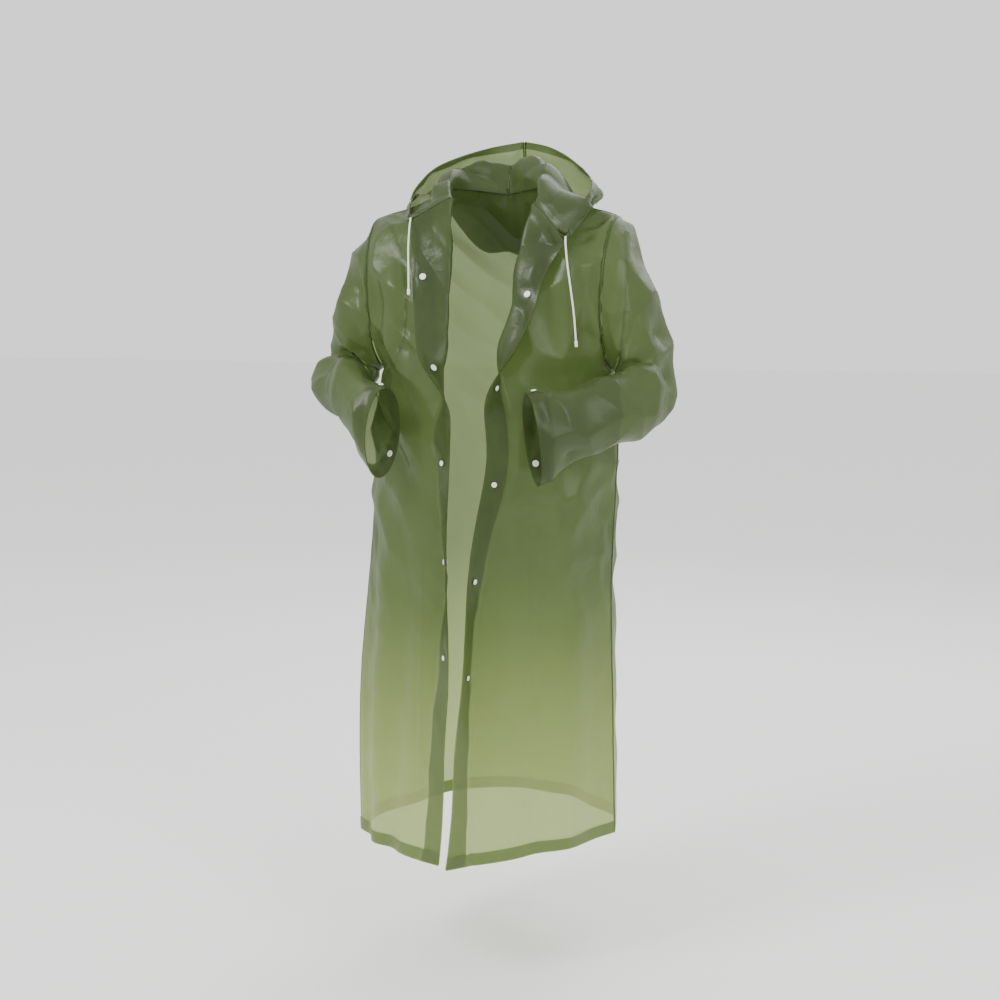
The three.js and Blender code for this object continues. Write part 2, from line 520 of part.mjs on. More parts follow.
// A closed wall between two distances from a grid of points, along the way out of the cloth.
function wall(grid, normals, outer, inner, ring = false) {
  const [rows, columns] = [grid.length, grid[0].length];
  const positions = [];
  for (const distance of [outer, inner]) {
    grid.forEach((row, i) => row.forEach((point, j) => {
      const far = typeof distance === "function" ? distance(i, j) : distance;
      positions.push(...point.clone().addScaledVector(normals[i][j], far).toArray());
    }));
  }
  const index = [];
  const id = (layer, i, j) => layer * rows * columns + i * columns + (ring ? j % columns : j);
  const corner = (i) => v(...positions.slice(3 * i, 3 * i + 3));
  const quad = (a, b, c, d) => {
    if (corner(a).distanceTo(corner(c)) <= corner(b).distanceTo(corner(d))) index.push(a, b, c, a, c, d);
    else index.push(a, b, d, b, c, d);
  };
  const across = ring ? columns : columns - 1;
  for (let i = 0; i < rows - 1; i += 1) {
    for (let j = 0; j < across; j += 1) {
      quad(id(0, i, j), id(0, i + 1, j), id(0, i + 1, j + 1), id(0, i, j + 1));
      quad(id(1, i, j), id(1, i, j + 1), id(1, i + 1, j + 1), id(1, i + 1, j));
    }
  }
  for (let j = 0; j < across; j += 1) {
    quad(id(0, 0, j), id(0, 0, j + 1), id(1, 0, j + 1), id(1, 0, j));
    quad(id(0, rows - 1, j), id(1, rows - 1, j), id(1, rows - 1, j + 1), id(0, rows - 1, j + 1));
  }
  for (let i = 0; i < rows - 1 && !ring; i += 1) {
    quad(id(0, i, 0), id(1, i, 0), id(1, i + 1, 0), id(0, i + 1, 0));
    quad(id(0, i, columns - 1), id(0, i + 1, columns - 1), id(1, i + 1, columns - 1), id(1, i, columns - 1));
  }
  const geometry = new THREE.BufferGeometry();
  geometry.setAttribute("position", new THREE.Float32BufferAttribute(positions, 3));
  geometry.setIndex(index);
  if (volumeOf(positions, index) < 0) geometry.setIndex(index.slice().reverse());
  return geometry;
}

function volumeOf(positions, index) {
  const corner = (i) => v(...positions.slice(3 * i, 3 * i + 3));
  let sum = 0;
  for (let i = 0; i < index.length; i += 3) {
    sum += corner(index[i]).dot(corner(index[i + 1]).cross(corner(index[i + 2]))) / 6;
  }
  return sum;
}

// Materials
const finish = (color, roughness) => new THREE.MeshStandardMaterial({ color, roughness, metalness: 0 });
const film = finish(0x66804a, 0.45);
const doubled = finish(0x4f6636, 0.45);
const plastic = finish(0xe9ece2, 0.35);
const braid = finish(0xf1f1ec, 0.8);

const coat = new THREE.Group();
function add(name, geometry, material) {
  const mesh = new THREE.Mesh(geometry, material);
  mesh.name = name;
  coat.add(mesh);
}

// The cut pieces
const SIDES = [{ hand: 1, name: "left" }, { hand: -1, name: "right" }];
const half = FILM / 2;
const pieces = {};

function cut(name, grid, sign, ring = false) {
  const normals = outwards(grid, ring, sign);
  pieces[name] = { grid, normals, ring };
  add(name, wall(grid, normals, half, -half, ring), film);
}

const backPoints = backGrid();
cut("back", trimmed(backPoints, { top: NECK_GAP, first: SIDE_GAP, last: SIDE_GAP }), -1);
for (const { hand, name } of SIDES) {
  const front = frontGrid(hand);
  cut(`front_${name}`, trimmed(front, { top: NECK_GAP, last: SIDE_GAP }), -hand);
  const middle = BACK_COLUMNS / 2;
  const backNeck = backPoints[0].slice(hand > 0 ? middle : 0, hand > 0 ? undefined : middle + 1);
  const fromMiddle = hand > 0 ? backNeck : backNeck.reverse();
  const seamLine = [...fromMiddle, ...front[0].slice(0, -1).reverse()];
  cut(`hood_${name}`, trimmed(hoodGrid(hand, seamLine), { top: NECK_GAP, first: SIDE_GAP }), -hand);
  const sleeve = sleeveGrid(hand);
  cut(`sleeve_${name}`, trimmed(sleeve, { top: SLEEVE_GAP }), hand, true);
}

// Bands that lie on the inner face of a piece
const inner = (level) => -(half + LAYER_GAP + level * (BAND + LAYER_GAP));
function band(name, piece, rows, columns, level = () => 0) {
  const grid = pieces[piece].grid.slice(...rows).map((row) => row.slice(...columns));
  const normals = pieces[piece].normals.slice(...rows).map((row) => row.slice(...columns));
  const near = (i, j) => inner(level(i, j));
  add(name, wall(grid, normals, near, (i, j) => near(i, j) - BAND, pieces[piece].ring), doubled);
}

const HEM_ROWS = [ROWS - 1, ROWS + 1];
for (const { name } of SIDES) {
  const front = `front_${name}`;
  band(`placket_${name}`, front, [0, ROWS + 1], [0, PLACKET_COLUMNS + 1]);
  const overPlacket = (_, j) => (j <= PLACKET_COLUMNS + 1 ? 1 : 0);
  band(`hem_${name}`, front, HEM_ROWS, [0, undefined], overPlacket);
  band(`cuff_hem_${name}`, `sleeve_${name}`, [SLEEVE_ROWS, SLEEVE_ROWS + 2], [0, undefined]);
  band(`hood_casing_${name}`, `hood_${name}`, [HOOD_ROWS, HOOD_ROWS + 2], [0, HOOD_COLUMNS]);
}
band("hem_back", "back", HEM_ROWS, [0, undefined]);

// Snaps: a cap on the outer face of the cloth and a socket on the inner one
const lathe = (profile, sides) => {
  const points = profile.map(([x, y]) => new THREE.Vector2(x, y));
  return new THREE.LatheGeometry(points, sides);
};
const discOf = (radius, height) => {
  const { height: rise, radius: inset } = SNAP_SHOULDER;
  const profile = [[0, 0], [radius, 0], [radius, height * rise], [radius * inset, height], [0, height]];
  return lathe(profile, SNAP.sides);
};

// Point and way out of a piece at a place between its rows and columns.
function placeOn(piece, row, column) {
  const pick = (field) => {
    const [i, j] = [Math.min(Math.floor(row), field.length - 2), Math.floor(column)];
    const columns = field[0].length;
    const upper = field[i][j % columns].clone().lerp(field[i][(j + 1) % columns], column - j);
    const lower = field[i + 1][j % columns].clone().lerp(field[i + 1][(j + 1) % columns], column - j);
    return upper.lerp(lower, row - i);
  };
  return { point: pick(pieces[piece].grid), out: pick(pieces[piece].normals).normalize() };
}

// How high a mesh reaches along a way, within a radius of a point.
function reachOf(mesh, point, way, radius) {
  const level = v(0, 0, 1).cross(way).normalize();
  const steep = way.clone().cross(level);
  const down = way.clone().negate();
  const spots = shares(2).flatMap((share) => shares(SNAP.sides).map((turn) => {
    const angle = 2 * Math.PI * turn;
    const offset = level.clone().multiplyScalar(Math.cos(angle)).addScaledVector(steep, Math.sin(angle));
    return point.clone().addScaledVector(offset, share * radius).addScaledVector(way, SEAT_SEARCH);
  }));
  const hits = spots.map((spot) => {
    const ray = new THREE.Raycaster(spot, down, 0, 2 * SEAT_SEARCH);
    return ray.intersectObject(mesh)[0];
  });
  return Math.max(...hits.filter(Boolean).map((hit) => SEAT_SEARCH - hit.distance));
}

function snap(name, piece, under, row, column) {
  const { point, out } = placeOn(piece, row, column);
  const stand = (radius, height, way, seat) => {
    const far = reachOf(coat.getObjectByName(seat), point, way, radius) + LAYER_GAP;
    const foot = point.clone().addScaledVector(way, far);
    const turn = new THREE.Quaternion().setFromUnitVectors(v(0, 1, 0), way);
    return discOf(radius, height).applyQuaternion(turn).translate(...foot.toArray());
  };
  add(`${name}_cap`, stand(SNAP.capRadius, SNAP.capHeight, out, piece), plastic);
  add(`${name}_socket`, stand(SNAP.socketRadius, SNAP.socketHeight, out.clone().negate(), under), plastic);
}

// The row, between rows, that lies a length down a column line of a piece.
function rowAt(piece, column, length) {
  let left = length;
  for (let row = 0; row < pieces[piece].grid.length - 1; row += 1) {
    const step = placeOn(piece, row, column).point.distanceTo(placeOn(piece, row + 0.999, column).point);
    if (left <= step) return row + left / step;
    left -= step;
  }
  return pieces[piece].grid.length - 1.001;
}

for (const { name } of SIDES) {
  for (let i = 0; i < FRONT_SNAPS; i += 1) {
    const column = (SNAP_FROM_EDGE * PLACKET_COLUMNS) / PLACKET;
    const row = rowAt(`front_${name}`, column, SNAP_FIRST[name] + SNAP_PITCH * i);
    snap(`snap_${name}_${i + 1}`, `front_${name}`, `placket_${name}`, row, column);
  }
  for (const [i, column] of CUFF_SNAP_COLUMNS.entries()) {
    snap(`cuff_snap_${name}_${i + 1}`, `sleeve_${name}`, `cuff_hem_${name}`, SLEEVE_ROWS + 0.5, column);
  }
}

// Drawcord: one free end at each front corner of the hood, with a tip on it
const CORD_ENDS = {
  left: [
    { x: 172, y: -144, z: -44 },
    { x: 175, y: -155, z: -56 },
    { x: 179, y: -157, z: -92 },
    { x: 184, y: -154, z: -132 },
    { x: 190, y: -151, z: -180 },
    { x: 194, y: -150, z: -228 },
  ],
  right: [
    { x: -124, y: -138, z: -8 },
    { x: -122, y: -150, z: -24 },
    { x: -120, y: -163, z: -62 },
    { x: -116, y: -174, z: -98 },
    { x: -112, y: -185, z: -136 },
  ],
};
const circle = new THREE.Shape(shares(CORD_SIDES).slice(0, -1).map((turn) => {
  const angle = 2 * Math.PI * turn;
  return new THREE.Vector2(CORD_RADIUS * Math.cos(angle), CORD_RADIUS * Math.sin(angle));
}));
const tipProfile = [
  [0, 0],
  [TIP.mouth, 0],
  [TIP.radius, TIP.ease],
  [TIP.radius, TIP.length - TIP.ease],
  [TIP.mouth, TIP.length],
  [0, TIP.length],
];
for (const { name } of SIDES) {
  const points = CORD_ENDS[name].map(({ x, y, z }) => v(x, y, z));
  const path = new THREE.CatmullRomCurve3(points, false, "centripetal");
  const steps = Math.round(path.getLength() / (CORD_STEP * 2 * CORD_RADIUS));
  const braided = new THREE.ExtrudeGeometry(circle, { steps, extrudePath: path, bevelEnabled: false });
  add(`drawcord_${name}`, braided, braid);
  const way = path.getTangentAt(1);
  const foot = path.getPointAt(1).addScaledVector(way, LAYER_GAP);
  const tip = lathe(tipProfile, TIP.sides);
  tip.applyQuaternion(new THREE.Quaternion().setFromUnitVectors(v(0, 1, 0), way));
  add(`cord_tip_${name}`, tip.translate(...foot.toArray()), plastic);
}

export default coat;
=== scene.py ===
# %% [markdown]
# # A translucent hooded rain coat
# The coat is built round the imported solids: each cut piece becomes one thin sheet of film that follows the
# middle of its solid wall, with soft crumples pressed into it. Bands, snaps and cords are added where the
# solids have them. Everything is in metres, in the frame of the solids.

# %% Load the frame
import bmesh
import bpy
import math
from mathutils import Matrix, Vector, kdtree, noise


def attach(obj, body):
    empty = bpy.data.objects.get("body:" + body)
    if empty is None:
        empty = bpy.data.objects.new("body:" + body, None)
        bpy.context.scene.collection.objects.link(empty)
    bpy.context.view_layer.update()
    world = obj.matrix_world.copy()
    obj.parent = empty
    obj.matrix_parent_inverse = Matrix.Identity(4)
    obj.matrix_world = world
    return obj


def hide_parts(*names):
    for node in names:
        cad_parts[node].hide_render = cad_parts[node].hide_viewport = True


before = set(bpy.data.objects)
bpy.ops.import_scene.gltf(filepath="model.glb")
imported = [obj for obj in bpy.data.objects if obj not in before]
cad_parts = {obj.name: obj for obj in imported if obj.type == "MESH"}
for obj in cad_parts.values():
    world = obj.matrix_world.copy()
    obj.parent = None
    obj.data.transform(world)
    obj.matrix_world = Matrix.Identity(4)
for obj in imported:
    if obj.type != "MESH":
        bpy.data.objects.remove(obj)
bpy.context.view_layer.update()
print("solids", len(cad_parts))

# %% [markdown]
# ## Sizes
# The walls of the solids are thicker than the real film, so the sheets lie in their middle. Lengths of
# the crumples are small beside the big folds, which the solids already have.

# %% Name the sizes
FILM_WALL = 0.002
BAND_WALL = 0.0012
SEAM_THICK = 0.0004
CRUMPLE = 0.0034
CRUMPLE_LENGTH = 0.085
CREASE = 0.032
CREASE_LENGTH = 0.074
QUIET = 0.026
ROLL_FRONT = -0.1
FINE = 0.0006
FINE_LENGTH = 0.024
WELD = 0.0036
WELD_LIFT = 0.0006
SEAM_REACH = 0.014
# A chain of edge points is closed if its ends are this near, and a strip bridges no wider a step.
CHAIN_CLOSED = 0.03
STRIP_STEP = 0.05
CORD = 0.0035
# The shoulders hang this far above the floor.
HEIGHT = 1.46
# Crumples are full above CALM_LOW + CALM_REACH and weak below CALM_LOW. Near the front opening, where the
# fronts roll, they keep only ROLL_SHARE.
CALM_LOW = -0.8
CALM_REACH = 0.45
ROLL_SHARE = 0.35
ROLL_X = 0.09
ROLL_EASE = 0.04
# Below CALM_LOW the broad waves and the creases keep these shares of their height.
BROAD_LOW = 0.45
CREASE_LOW = 0.2
# The creases are bent this far, over this length, so that they don't lie in a regular net.
BEND = 0.03
BEND_LENGTH = 0.19
# Packing creases: how deep and wide they are, where they lie, and the middle of the front opening.
PACKED = 0.0013
PACKED_WIDTH = 0.004
PACKED_FRONT = -0.08
PACKED_TOP = -0.62
PACKED_UPRIGHT_END = -1.06
PACKED_LEVELS = (-0.718, -1.025)
PACKED_SIDE = 0.1
OPENING_X = 0.01
# The film's colour turns to its pale one between these two heights. That paler skirt is painted light, as if
# light came through the film there from behind.
PAINTED_LIGHT_STARTS = -0.62
PAINTED_LIGHT_ENDS = -1.15
# The vector noise takes its seed from the clock unless one is set, and each run would give another coat.
SEED = 7
noise.seed_set(SEED)
print("crumple", CRUMPLE, "crease", CREASE, "seed", SEED)

# %% [markdown]
# ## Camera, floor and light
# The camera stands 3.1 m away, a little to the right of the coat's middle, at 1.35 m above the floor and
# tilted down 8 degrees. The floor is pale and the light is soft from all sides.

# %% Set the camera
CAMERA_FAR = 3.1
CAMERA_HIGH = 1.35
CAMERA_DOWN = 8
CAMERA_SIDE = 17
camera = bpy.data.objects.new("camera", bpy.data.cameras.new("camera"))
bpy.context.scene.collection.objects.link(camera)
side = math.radians(CAMERA_SIDE)
camera.location = (CAMERA_FAR * math.sin(side), -CAMERA_FAR * math.cos(side), CAMERA_HIGH - HEIGHT)
camera.rotation_euler = (math.radians(90 - CAMERA_DOWN), 0, side)
camera.data.lens = 57.9
camera.data.sensor_width = 36
camera.data.shift_x = 0.003
bpy.context.scene.camera = camera
print("camera", [round(x, 3) for x in camera.location])

# %% Make the floor and the lights
bpy.ops.mesh.primitive_plane_add(size=40, location=(0, 0, -HEIGHT))
floor = bpy.context.object
floor.name = "floor"
floor_mat = bpy.data.materials.new("floor")
floor_mat.use_nodes = True
floor_bsdf = floor_mat.node_tree.nodes["Principled BSDF"]
floor_bsdf.inputs["Base Color"].default_value = (0.93, 0.93, 0.92, 1)
floor_bsdf.inputs["Roughness"].default_value = 0.9
floor.data.materials.append(floor_mat)

world = bpy.data.worlds.new("world")
bpy.context.scene.world = world
world.use_nodes = True
world.node_tree.nodes["Background"].inputs["Color"].default_value = (1, 1, 1, 1)
world.node_tree.nodes["Background"].inputs["Strength"].default_value = 1.3


def area_light(name, place, aim, size, power):
    light = bpy.data.lights.new(name, "AREA")
    light.size = size
    light.energy = power
    lamp = bpy.data.objects.new(name, light)
    bpy.context.scene.collection.objects.link(lamp)
    lamp.location = place
    lamp.rotation_euler = (Vector(aim) - Vector(place)).to_track_quat("-Z", "Y").to_euler()
    return lamp


lamps = [
    area_light("key", (-2.0, -2.6, 2.2), (0, 0, -0.4), 1.2, 110),
    area_light("fill", (2.6, -2.0, 1.2), (0, 0, -0.5), 1.4, 35),
    area_light("back", (0.6, 2.6, 1.6), (0, 0, -0.5), 2.4, 60),
]
print("lights", [lamp.name for lamp in lamps])

# %% [markdown]
# ## Drawcord ends
# The route of each cord is the one its solid takes: a smooth curve through a few points, straight out of the
# hood's channel and then down under its own weight. The braid is a tube whose ribs cross each other.

# %% Trace the cords
CORD_ROUTES = {
    "left": [
        (172, -144, -44), (175, -155, -56), (179, -157, -92),
        (184, -154, -132), (190, -151, -180), (194, -150, -228),
    ],
    "right": [
        (-124, -138, -8), (-122, -150, -24), (-120, -163, -62),
        (-116, -174, -98), (-112, -185, -136),
    ],
}


def smooth_route(points, step=0.0009):
    """Points close together on the centripetal curve through the given ones."""
    points = [Vector(p) / 1000 for p in points]
    ends = [2 * points[0] - points[1], *points, 2 * points[-1] - points[-2]]
    out = [points[0]]
    for p0, p1, p2, p3 in zip(ends, ends[1:], ends[2:], ends[3:]):
        d0, d1, d2 = ((b - a).length ** 0.5 for a, b in ((p0, p1), (p1, p2), (p2, p3)))
        m1 = ((p1 - p0) / d0 - (p2 - p0) / (d0 + d1) + (p2 - p1) / d1) * d1
        m2 = ((p2 - p1) / d1 - (p3 - p1) / (d1 + d2) + (p3 - p2) / d2) * d1
        count = max(2, round((p2 - p1).length / step))
        for i in range(1, count + 1):
            t = i / count
            out.append(
                (2 * t**3 - 3 * t**2 + 1) * p1 + (t**3 - 2 * t**2 + t) * m1
                + (3 * t**2 - 2 * t**3) * p2 + (t**3 - t**2) * m2
            )
    return out


def new_object(name, mesh, material, slot, *replaced):
    made = bpy.data.objects.new(name, mesh)
    bpy.context.scene.collection.objects.link(made)
    mesh.materials.append(material)
    for face in mesh.polygons:
        face.use_smooth = True
    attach(made, "root")
    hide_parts(*replaced)
    return made


def braided_tube(route, diameter, sides=16, plait=0.0034, relief=0.09):
    """A tube along a route whose surface rises and falls as crossing strands do."""
    bm = bmesh.new()
    across = Vector((1, 0, 0))
    rings, run = [], 0.0
    for i, point in enumerate(route):
        way = (route[min(i + 1, len(route) - 1)] - route[max(i - 1, 0)]).normalized()
        across = (across - way * across.dot(way)).normalized()
        other = way.cross(across)
        run += (point - route[i - 1]).length if i else 0
        ring = []
        for j in range(sides):
            turn = 2 * math.pi * j / sides
            phase = 2 * math.pi * run / plait
            strand = math.cos(4 * turn + phase) * math.cos(4 * turn - phase)
            radius = diameter / 2 * (1 - relief + relief * strand)
            ring.append(bm.verts.new(point + radius * (across * math.cos(turn) + other * math.sin(turn))))
        rings.append(ring)
    for a, b in zip(rings, rings[1:]):
        for j in range(sides):
            k = (j + 1) % sides
            bm.faces.new((a[j], a[k], b[k], b[j]))
    bm.faces.new(rings[0][::-1])
    bm.faces.new(rings[-1])
    mesh = bpy.data.meshes.new("tube")
    bm.to_mesh(mesh)
    bm.free()
    return mesh


def node_group(name, inputs, outputs):
    """A new shader node group with its named sockets, and the two nodes inside it that hold them."""
    group = bpy.data.node_groups.new(name, "ShaderNodeTree")
    for label, kind in inputs.items():
        group.interface.new_socket(label, in_out="INPUT", socket_type=f"NodeSocket{kind}")
    for label, kind in outputs.items():
        group.interface.new_socket(label, in_out="OUTPUT", socket_type=f"NodeSocket{kind}")
    return group, group.nodes.new("NodeGroupInput"), group.nodes.new("NodeGroupOutput")


def shaded_noise(group, given, low, high):
    """Inside a group: noise, and the colour between Dark and Bright that it gives from low to high."""
    cloud = group.nodes.new("ShaderNodeTexNoise")
    share = group.nodes.new("ShaderNodeMapRange")
    share.inputs["From Min"].default_value = low
    share.inputs["From Max"].default_value = high
    shade = group.nodes.new("ShaderNodeMix")
    shade.data_type = "RGBA"
    group.links.new(given.outputs["Vector"], cloud.inputs["Vector"])
    group.links.new(cloud.outputs["Fac"], share.inputs["Value"])
    group.links.new(share.outputs["Result"], shade.inputs["Factor"])
    group.links.new(given.outputs["Dark"], shade.inputs["A"])
    group.links.new(given.outputs["Bright"], shade.inputs["B"])
    return cloud, shade


def moulded_colour():
    """What cord, snaps and tips share: a fine grain that also shades the colour a little."""
    inputs = {"Vector": "Vector", "Scale": "Float", "Dark": "Color", "Bright": "Color"}
    group, given, result = node_group("moulded_colour", inputs, {"Color": "Color", "Grain": "Float"})
    cloud, shade = shaded_noise(group, given, 0.3, 0.7)
    cloud.inputs["Detail"].default_value = 4
    group.links.new(given.outputs["Scale"], cloud.inputs["Scale"])
    group.links.new(shade.outputs["Result"], result.inputs["Color"])
    group.links.new(cloud.outputs["Fac"], result.inputs["Grain"])
    return group


MOULDED = moulded_colour()


def plain_material(name, color, roughness, bump_scale, bump_depth):
    """A solid material with a little grain and shading of its own."""
    mat = bpy.data.materials.new(name)
    mat.use_nodes = True
    tree = mat.node_tree
    bsdf = tree.nodes["Principled BSDF"]
    place = tree.nodes.new("ShaderNodeTexCoord")
    finish = tree.nodes.new("ShaderNodeGroup")
    finish.node_tree = MOULDED
    finish.inputs["Scale"].default_value = bump_scale
    finish.inputs["Dark"].default_value = (*[c * 0.86 for c in color], 1)
    finish.inputs["Bright"].default_value = (*color, 1)
    bump = tree.nodes.new("ShaderNodeBump")
    bump.inputs["Strength"].default_value = 0.4
    bump.inputs["Distance"].default_value = bump_depth
    links = tree.links
    links.new(place.outputs["Object"], finish.inputs["Vector"])
    links.new(finish.outputs["Color"], bsdf.inputs["Base Color"])
    links.new(finish.outputs["Grain"], bump.inputs["Height"])
    links.new(bump.outputs["Normal"], bsdf.inputs["Normal"])
    bsdf.inputs["Roughness"].default_value = roughness
    return mat


cord_mat = plain_material("cord", (0.83, 0.83, 0.8), 0.85, 2200, 0.0002)
snap_mat = plain_material("snap", (0.84, 0.85, 0.8), 0.3, 260, 0.0001)
tip_mat = plain_material("tip", (0.82, 0.83, 0.78), 0.32, 300, 0.0001)
cords = {}
for hand, points in CORD_ROUTES.items():
    route = smooth_route(points)
    mesh = braided_tube(route, CORD)
    cords[hand] = new_object(f"cord_{hand}", mesh, cord_mat, "cord", f"drawcord_{hand}")
    cords[hand]["length"] = sum((b - a).length for a, b in zip(route, route[1:]))
    print("cord", hand, round(cords[hand]["length"], 3), "m", len(mesh.polygons), "faces")

# %% [markdown]
# ## Film
# The film is frosted and tinted: part of the light goes straight through and takes the tint, part spreads as
# it passes, and part comes back from the face. Two layers together are therefore darker than one. Cloudy
# patches vary the tint, and a fine bump gives the soft broken gloss of thin film. Real film has one colour
# all over. The paler skirt is painted light, painted here by height to match the picture: it stands for light
# coming through the film from behind, and isn't a property of the film.

# %% Make the film materials


def film_colour_and_painted_light():
    """What every film finish shares: cloudy patches, a paler colour low in the skirt that is painted light,
    and a fine grain.
    """
    inputs = {"Vector": "Vector", "Dark": "Color", "Bright": "Color", "Painted_Light_Pale": "Color"}
    group, given, result = node_group("film_colour_and_painted_light", inputs, {"Color": "Color", "Grain": "Float"})
    links = group.links
    cloud, shade = shaded_noise(group, given, 0.3, 0.75)
    cloud.inputs["Scale"].default_value = 5
    cloud.inputs["Detail"].default_value = 5
    # Painted light: lower in the skirt the colour turns towards the paler one, as if light came through the
    # film there from behind.
    parts = group.nodes.new("ShaderNodeSeparateXYZ")
    low = group.nodes.new("ShaderNodeMapRange")
    low.inputs["From Min"].default_value = PAINTED_LIGHT_STARTS
    low.inputs["From Max"].default_value = PAINTED_LIGHT_ENDS
    low.interpolation_type = "SMOOTHSTEP"
    painted_light_mix = group.nodes.new("ShaderNodeMix")
    painted_light_mix.data_type = "RGBA"
    links.new(given.outputs["Vector"], parts.inputs["Vector"])
    links.new(parts.outputs["Z"], low.inputs["Value"])
    links.new(low.outputs["Result"], painted_light_mix.inputs["Factor"])
    links.new(shade.outputs["Result"], painted_light_mix.inputs["A"])
    links.new(given.outputs["Painted_Light_Pale"], painted_light_mix.inputs["B"])
    grain = group.nodes.new("ShaderNodeTexNoise")
    grain.inputs["Scale"].default_value = 60
    grain.inputs["Detail"].default_value = 6
    links.new(given.outputs["Vector"], grain.inputs["Vector"])
    links.new(painted_light_mix.outputs["Result"], result.inputs["Color"])
    links.new(grain.outputs["Fac"], result.inputs["Grain"])
    return group


FILM_COLOUR_AND_PAINTED_LIGHT = film_colour_and_painted_light()


def film_material(name, tint, body, pale, clear, glow):
    """clear is the share of light that goes straight through a layer that faces it, and glow the share that
    spreads as it passes. The colour turns from body to pale by height, low in the skirt, as painted light."""
    mat = bpy.data.materials.new(name)
    mat.use_nodes = True
    tree = mat.node_tree
    links = tree.links
    bsdf = tree.nodes["Principled BSDF"]
    output = tree.nodes["Material Output"]
    place = tree.nodes.new("ShaderNodeTexCoord")
    finish = tree.nodes.new("ShaderNodeGroup")
    finish.node_tree = FILM_COLOUR_AND_PAINTED_LIGHT
    finish.inputs["Dark"].default_value = (*[c * 0.8 for c in body], 1)
    finish.inputs["Bright"].default_value = (*[min(1, c * 1.15) for c in body], 1)
    finish.inputs["Painted_Light_Pale"].default_value = (*pale, 1)
    links.new(place.outputs["Object"], finish.inputs["Vector"])
    bump = tree.nodes.new("ShaderNodeBump")
    bump.inputs["Strength"].default_value = 0.4
    bump.inputs["Distance"].default_value = 0.003
    links.new(finish.outputs["Grain"], bump.inputs["Height"])
    links.new(finish.outputs["Color"], bsdf.inputs["Base Color"])
    links.new(bump.outputs["Normal"], bsdf.inputs["Normal"])
    bsdf.inputs["Roughness"].default_value = 0.3
    bsdf.inputs["IOR"].default_value = 1.5

    through = tree.nodes.new("ShaderNodeBsdfTranslucent")
    links.new(finish.outputs["Color"], through.inputs["Color"])
    links.new(bump.outputs["Normal"], through.inputs["Normal"])
    straight = tree.nodes.new("ShaderNodeBsdfTransparent")
    straight.inputs["Color"].default_value = (*tint, 1)
    spread = tree.nodes.new("ShaderNodeMixShader")
    spread.inputs["Fac"].default_value = glow
    links.new(bsdf.outputs["BSDF"], spread.inputs[1])
    links.new(through.outputs["BSDF"], spread.inputs[2])

    facing = tree.nodes.new("ShaderNodeLayerWeight")
    facing.inputs["Blend"].default_value = 0.35
    share = tree.nodes.new("ShaderNodeMapRange")
    share.inputs["To Min"].default_value = clear
    share.inputs["To Max"].default_value = clear * 0.25
    whole = tree.nodes.new("ShaderNodeMixShader")
    links.new(facing.outputs["Facing"], share.inputs["Value"])
    links.new(share.outputs["Result"], whole.inputs["Fac"])
    links.new(spread.outputs["Shader"], whole.inputs[1])
    links.new(straight.outputs["BSDF"], whole.inputs[2])
    links.new(whole.outputs["Shader"], output.inputs["Surface"])
    return mat


# The third colour of each film is its pale one: painted light for the lower skirt.
film = film_material("film", (0.5, 0.62, 0.31), (0.105, 0.145, 0.055), (0.37, 0.43, 0.16), 0.32, 0.48)
band_film = film_material("band_film", (0.45, 0.54, 0.28), (0.1, 0.14, 0.048), (0.2, 0.25, 0.1), 0.4, 0.45)
weld_film = film_material("weld_film", (0.55, 0.65, 0.36), (0.12, 0.165, 0.06), (0.2, 0.25, 0.1), 0.55, 0.5)
print("film materials", [made.name for made in (film, band_film, weld_film)])

# %% [markdown]
# ## From a solid wall to a sheet
# A solid wall has two skins and a narrow rim. Every face of the rim has an edge as short as the wall is
# thick, so deleting those faces leaves the two skins. One is kept, moved to the middle of the wall, turned
# into quads and subdivided. Then crumples are pressed into it along its normals.

# %% Take the middle sheet of a wall


def middle_sheet(node, wall):
    """A bmesh of the middle of a solid wall, in quads where the solid's triangles pair up."""
    bm = bmesh.new()
    bm.from_mesh(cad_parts[node].data)
    bmesh.ops.remove_doubles(bm, verts=bm.verts, dist=0.00005)
    rim = [f for f in bm.faces if min(e.calc_length() for e in f.edges) < wall * 1.5]
    bmesh.ops.delete(bm, geom=rim, context="FACES")
    bm.faces.ensure_lookup_table()
    left, skins = dict.fromkeys(bm.faces), []
    while left:
        skin, ahead = [], [next(iter(left))]
        while ahead:
            face = ahead.pop()
            if face not in left:
                continue
            del left[face]
            skin.append(face)
            ahead += [f for e in face.edges for f in e.link_faces if f in left]
        skins.append(skin)
    skins.sort(key=lambda skin: -sum(f.calc_area() for f in skin))
    others = [f for skin in skins[1:] for f in skin]
    bmesh.ops.delete(bm, geom=others, context="FACES")
    loose = [v for v in bm.verts if not v.link_faces]
    bmesh.ops.delete(bm, geom=loose, context="VERTS")
    bm.normal_update()
    moved = {v: v.co - v.normal * wall / 2 for v in bm.verts}
    for v, place in moved.items():
        v.co = place
    bmesh.ops.join_triangles(
        bm, faces=bm.faces, angle_face_threshold=math.radians(60), angle_shape_threshold=math.radians(60)
    )
    return bm, len(skins)


ANCHORS = []
for node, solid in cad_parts.items():
    if "snap" in node:
        ANCHORS.append(sum((v.co for v in solid.data.vertices), Vector()) / len(solid.data.vertices))
for points in CORD_ROUTES.values():
    ANCHORS += smooth_route(points)[::10]
STILL = kdtree.KDTree(len(ANCHORS))
for i, place in enumerate(ANCHORS):
    STILL.insert(place, i)
STILL.balance()


